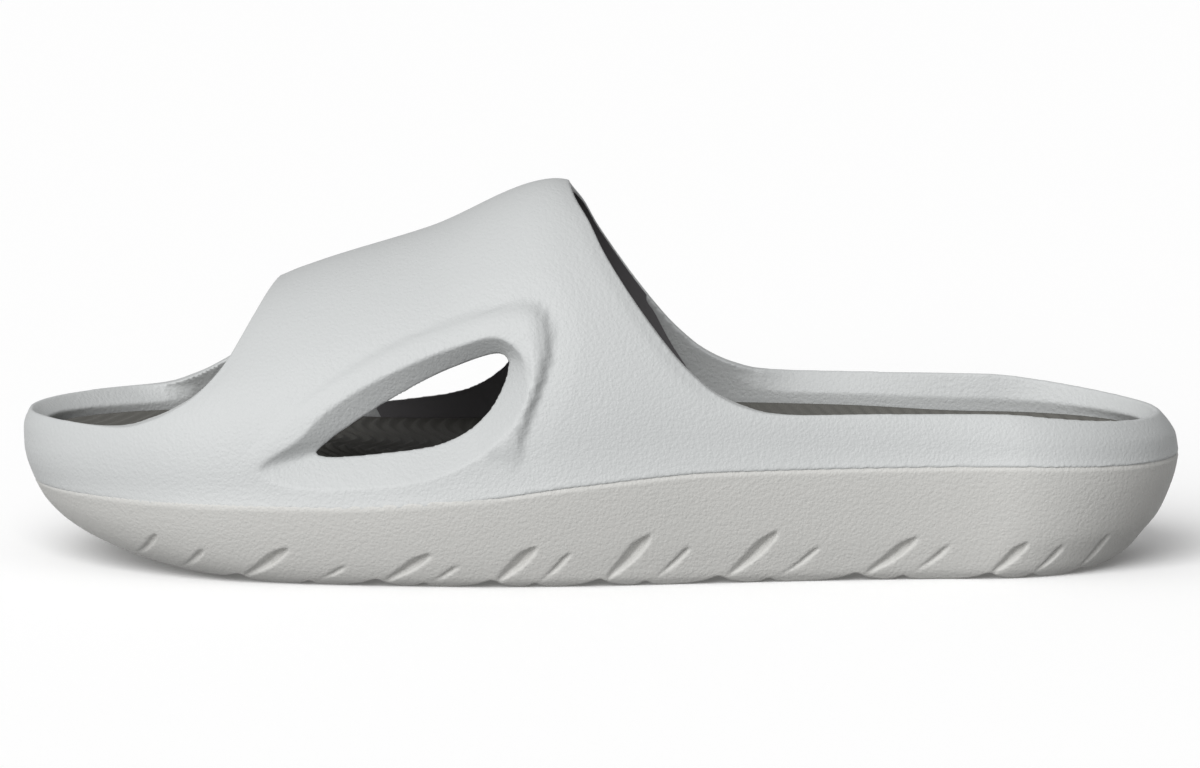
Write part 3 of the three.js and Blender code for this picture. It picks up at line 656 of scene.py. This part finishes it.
def makeFootbed():
    turn = turns(footbed["ringPoints"])
    edge = footbedEdge(turn)
    low = formPointAt(turn, edge - footbed["thickness"], 1, shoe["clearance"])
    high = formPointAt(turn, edge, 1, shoe["clearance"])
    mirror = np.roll(high[::-1], 1, axis=0)
    middle = (high[:, 1] + mirror[:, 1]) / 2
    half = shoe["length"] / 2
    rolled = high.copy()
    rolled[:, 2] -= footbed["edgeRoll"]
    rings = [low, rolled]
    for shrink in np.concatenate([[0.997, 0.99, 0.98], np.linspace(0.967, 0.012, footbed["levels"])]):
        dip = footbed["dish"] * dishAt(high[:, 0] / shoe["length"]) * (1 - shrink**3)
        along = half + (high[:, 0] - half) * (1 - (1 - shrink) * 0.25)
        across = middle + (high[:, 1] - middle) * shrink
        roll = footbed["edgeRoll"] * (1 - smooth(1 - shrink, 0, 0.03)) ** 2
        fade = smooth(1 - shrink, 0.02, 0.06)
        ridge = footbed["ridgeRaise"] * fade * np.cos(2 * math.pi * ridgePhase(along, across))
        rings.append(np.stack([along, across, high[:, 2] - dip - roll + ridge], axis=-1))
    piece = ringPiece("footbedInsert", rings)
    makeActive(piece)
    bpy.ops.object.shade_smooth()
    print(piece.name, "has", triangleCount(piece), "triangles")
    return piece


# Sole: side wall with leaning slashes, tread with cross channels, and the shelf that carries the collar
sole = {
    "ringPoints": 480,
    "levels": 34,
    "grooveRise": 13.0,
    "grooveWidth": 7.5,
    "grooveDepth": 2.2,
    "treadWidth": 5.0,
    "treadDepth": 2.2,
    "voxel": 0.45,
    "passes": 1,
}

# along is where the notch meets the floor edge and lean how far the slash runs back, as shares of the length
grooves = {
    "along": (0.09, 0.131, 0.179, 0.241, 0.299, 0.34, 0.398, 0.435, 0.49, 0.529, 0.591, 0.634, 0.708, 0.748, 0.822,
              0.859, 0.9),
    "lean": (0.031, 0.031, 0.055, 0.045, 0.057, 0.041, 0.048, 0.041, 0.054, 0.05, 0.062, 0.057, 0.065, 0.055, 0.046,
             0.041, 0.039),
    "rise": (0.75, 0.62, 0.75, 0.45, 0.68, 0.47, 0.81, 0.7, 1.0, 0.77, 1.0, 0.72, 0.84, 0.72, 0.73, 0.65, 0.68),
    "width": (0.45, 0.45, 1.0, 0.45, 1.0, 0.45, 1.0, 0.45, 1.0, 0.45, 1.0, 0.45, 1.0, 0.45, 0.8, 0.45, 0.45),
}
grooveSteps = {
    "run": (0.26, 0.42, 0.68, 0.9, 1.0),
    "rise": (0.1, 0.26, 0.54, 0.88, 1.06),
    "width": (0.12, 0.5, 0.74, 0.7, 0.15),
    "depth": (0.0, 0.5, 0.9, 0.9, 0.1),
}


def grooveCutter(i, side):
    steps = catmullRom(np.stack([grooveSteps[key] for key in ("run", "rise", "width", "depth")], axis=-1), False, 5)
    width = sole["grooveWidth"] * grooves["width"][i]
    loops = []
    for run, rise, wide, deep in steps:
        along = shoe["length"] * (grooves["along"][i] + grooves["lean"][i] * run)
        up = floorAt(along) + sole["grooveRise"] * grooves["rise"][i] * rise
        half = width * wide / 2
        depth = sole["grooveDepth"] * deep * (0.6 + 0.4 * grooves["width"][i])
        place = np.array([along - half * 1.6, along + half * 0.5, along + half * 0.05])
        loops.append(skinPoint(soleY, place, np.full(3, up), side, np.array([0.5, 1.0, -depth])))
    return loopPiece("grooveCutter", loops)


def treadCutter(i):
    loops = []
    for span in np.linspace(-1, 1, 15):
        along = shoe["length"] * (grooves["along"][i] + 0.015 * (1 - span * span))
        y = shoe["ballWidth"] * 0.7 * span
        wide, deep = sole["treadWidth"] * grooves["width"][i], sole["treadDepth"] * (0.3 + 0.7 * grooves["width"][i])
        section = np.array([(-2.6, -0.5), (1.9, -0.5), (1.9, -0.06), (1.1, 0.12), (0.5, 0.42), (0.05, 0.95), (-0.1, 0.92),
                            (-0.8, 0.38), (-1.6, 0.12), (-2.6, -0.06)])
        place = along + section[:, 0] * wide
        loops.append(np.stack([place, np.full(len(place), y), floorAt(place) + section[:, 1] * deep], axis=-1))
    return loopPiece("treadCutter", loops)


def makeSole():
    turn = turns(sole["ringPoints"])
    gap = np.array([0, 0, shoe["clearance"] / 2])
    rings = [solePoint(turn, rise) for rise in np.linspace(0, 1, sole["levels"])]
    bevel = creaseBevel(turn)
    rings[-1] = rings[-1] - gap
    rings[-1][:, 2] -= bevel
    rings.append(formPoint(turn, 0.0, 0, bevel) - gap)
    rings.append(formPoint(turn, 0.0, 0, bevel + 0.1) + (0, 0, 1.2))
    rings.append(formPoint(turn, 0.0, 0, bevel + 1.3) + (0, 0, 1.2))
    rings.append(formPoint(turn, 0.0, 1, shoe["clearance"]) - gap)
    platform = footbedEdge(turn) - footbed["thickness"] - shoe["clearance"]
    rings.append(formPointAt(turn, platform, 1, shoe["clearance"]))
    piece = ringPiece("soleUnit", rings)
    for i in range(len(grooves["along"])):
        for side in (-1, 1):
            cut(piece, grooveCutter(i, side))
        if grooves["along"][i] > 0.15:
            cut(piece, treadCutter(i))
    soften(piece, sole["voxel"], sole["passes"])
    return piece


# Materials
def toLinear(code):
    channels = [int(code[i:i + 2], 16) / 255 for i in (1, 3, 5)]
    return [c / 12.92 if c <= 0.04045 else ((c + 0.055) / 1.055) ** 2.4 for c in channels] + [1.0]


def addNode(tree, kind, settings=None, links=None):
    node = tree.nodes.new(kind)
    for name, value in (settings or {}).items():
        if name in node.inputs:
            node.inputs[name].default_value = value
        else:
            setattr(node, name, value)
    for name, source in (links or {}).items():
        tree.links.new(source, node.inputs[name])
    return node


def blendColours(tree, factor, first, second):
    mix = addNode(tree, "ShaderNodeMix", {"data_type": "RGBA"})
    colours = [socket for socket in mix.inputs if socket.type == "RGBA"]
    colours[0].default_value = toLinear(first)
    colours[1].default_value = toLinear(second)
    tree.links.new(factor, mix.inputs["Factor"])
    return [socket for socket in mix.outputs if socket.type == "RGBA"][0]


def foamMaterial(name, look):
    material = bpy.data.materials.new(name)
    material.use_nodes = True
    tree = material.node_tree
    shader = tree.nodes["Principled BSDF"]
    shader.inputs["IOR"].default_value = look["ior"]
    shader.inputs["Specular IOR Level"].default_value = look["specular"]
    shader.inputs["Sheen Weight"].default_value = look.get("sheen", 0.0)
    shader.inputs["Sheen Roughness"].default_value = 0.5
    place = addNode(tree, "ShaderNodeTexCoord").outputs["Object"]
    cloud = addNode(tree, "ShaderNodeTexNoise", {"Scale": 1000 / look["cloud"], "Detail": 3.0, "Roughness": 0.55},
                    {"Vector": place})
    tree.links.new(blendColours(tree, cloud.outputs["Fac"], look["colour"], look["shade"]), shader.inputs["Base Color"])
    pebble = addNode(tree, "ShaderNodeTexVoronoi", {"feature": "SMOOTH_F1", "Scale": 1000 / look["pebble"],
                                                    "Smoothness": 0.6, "Randomness": 1.0}, {"Vector": place})
    fine = addNode(tree, "ShaderNodeTexNoise", {"Scale": 1000 / look["fine"], "Detail": 2.0}, {"Vector": place})
    height = addNode(tree, "ShaderNodeMath", {"operation": "MULTIPLY_ADD"})
    tree.links.new(pebble.outputs["Distance"], height.inputs[0])
    height.inputs[1].default_value = -1.0
    tree.links.new(fine.outputs["Fac"], height.inputs[2])
    bump = addNode(tree, "ShaderNodeBump", {"Strength": 1.0, "Distance": look["relief"] * 0.001},
                   {"Height": height.outputs[0]})
    tree.links.new(bump.outputs["Normal"], shader.inputs["Normal"])
    gloss = addNode(tree, "ShaderNodeMapRange", {"To Min": look["roughness"] - 0.05, "To Max": look["roughness"] + 0.05},
                    {"Value": fine.outputs["Fac"]})
    tree.links.new(gloss.outputs["Result"], shader.inputs["Roughness"])
    return material


# Moulded EVA foam, cool light grey: satin, with a fine pebbled skin from the mould
upperLook = {"colour": "#b8baba", "shade": "#b3b5b5", "ior": 1.48, "specular": 0.45, "roughness": 0.5, "cloud": 28.0,
             "pebble": 0.9, "fine": 0.45, "relief": 0.09}
# Moulded EVA foam of the sole, warmer and a little darker, more matt
soleLook = {"colour": "#bfbebb", "shade": "#babab7", "ior": 1.48, "specular": 0.4, "roughness": 0.56, "cloud": 24.0,
            "pebble": 0.9, "fine": 0.45, "relief": 0.1}
# Dark EVA footbed: matt, with a dry grain over the ridges
footbedLook = {"colour": "#5f5e5a", "shade": "#575652", "ior": 1.46, "specular": 0.35, "roughness": 0.68, "cloud": 18.0,
               "pebble": 0.7, "fine": 0.3, "relief": 0.04}
# Smooth dark lining skin: nearly plain, with a low sheen where light grazes it
liningLook = {"colour": "#6c6a6c", "shade": "#656365", "ior": 1.46, "specular": 0.4, "roughness": 0.48, "cloud": 20.0,
              "pebble": 0.5, "fine": 0.25, "relief": 0.01}


def dress(piece, material, slotName, *nodes):
    piece.data.materials.clear()
    piece.data.materials.append(material)
    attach(piece, "root")
    if nodes:
        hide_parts(*nodes)


upperPiece = makeUpper()
dress(upperPiece, foamMaterial("mouldedEvaUpper", upperLook), "upper_foam", "upper")
print("upper done")
solePiece = makeSole()
dress(solePiece, foamMaterial("mouldedEvaSole", soleLook), "sole_foam", "sole")
print("sole done")
footbedPiece = makeFootbed()
dress(footbedPiece, foamMaterial("ridgedEvaFootbed", footbedLook), "footbed_foam", "footbed")
print("footbed done")
liningPiece = makeLining()
dress(liningPiece, foamMaterial("smoothLiningSkin", liningLook), "footbed_foam")
print("lining done")

# Studio: pale floor, one broad soft light from above, even light all round
studio = {
    "floorSize": 40.0,
    "floor": "#ffffff",
    "skyStrength": 0.47,
    "groundStrength": 0.34,
    "toeSideShare": 0.4,  # how much more of the even light comes from the toe side
    "sunStrength": 3.0,
    "sunSpread": 50.0,
    "sunFrom": (-0.3, -0.775, 0.555),  # from the toe side, in front and above
}


def makeStudio():
    deselectAll()
    bpy.ops.mesh.primitive_plane_add(size=studio["floorSize"], location=(0, 0, 0))
    floor = bpy.context.active_object
    floor.name = "floor"
    material = bpy.data.materials.new("paintedFloor")
    material.use_nodes = True
    shader = material.node_tree.nodes["Principled BSDF"]
    shader.inputs["Base Color"].default_value = toLinear(studio["floor"])
    shader.inputs["Roughness"].default_value = 0.9
    shader.inputs["Specular IOR Level"].default_value = 0.1
    floor.data.materials.append(material)
    floor.visible_diffuse = False  # the floor reads white without throwing its glare up into the hollows
    world = bpy.data.worlds.new("studioAir")
    world.use_nodes = True
    tree = world.node_tree
    heading = addNode(tree, "ShaderNodeTexCoord").outputs["Generated"]
    heading = addNode(tree, "ShaderNodeSeparateXYZ", links={"Vector": heading})
    level = addNode(tree, "ShaderNodeMapRange", {"From Min": -0.15, "From Max": 0.15, "To Min": studio["groundStrength"],
                                                 "To Max": studio["skyStrength"]}, {"Value": heading.outputs["Z"]})
    share = studio["toeSideShare"]
    slant = addNode(tree, "ShaderNodeMapRange", {"From Min": -1.0, "From Max": 1.0, "To Min": 1 + share,
                                                 "To Max": 1 - share}, {"Value": heading.outputs["X"]})
    strength = addNode(tree, "ShaderNodeMath", {"operation": "MULTIPLY"})
    tree.links.new(level.outputs["Result"], strength.inputs[0])
    tree.links.new(slant.outputs["Result"], strength.inputs[1])
    tree.links.new(strength.outputs[0], tree.nodes["Background"].inputs["Strength"])
    tree.nodes["Background"].inputs["Color"].default_value = (1, 1, 1, 1)
    bpy.context.scene.world = world
    turn = Vector(studio["sunFrom"]).to_track_quat("Z", "Y").to_euler()
    bpy.ops.object.light_add(type="SUN", location=(0, 0, 2), rotation=turn)
    sun = bpy.context.active_object
    sun.data.energy = studio["sunStrength"]
    sun.data.angle = math.radians(studio["sunSpread"])


view = {
    "distance": 4.0,
    "elevation": 8.5,
    "aim": (-0.00023, 0.0, 0.04405),
    "width": 0.3008,  # what the frame takes in at the shoe, in metres
}


def makeCamera():
    tilt = math.radians(view["elevation"])
    x, y, z = view["aim"]
    place = (x, y - view["distance"] * math.cos(tilt), z + view["distance"] * math.sin(tilt))
    bpy.ops.object.camera_add(location=place, rotation=(math.pi / 2 - tilt, 0, 0))
    camera = bpy.context.active_object
    camera.data.sensor_width = 36
    camera.data.lens = 36 * view["distance"] / view["width"]
    camera.data.clip_end = 100
    bpy.context.scene.camera = camera


makeStudio()
makeCamera()
bpy.context.scene.view_settings.view_transform = "Standard"
print("studio and camera done")
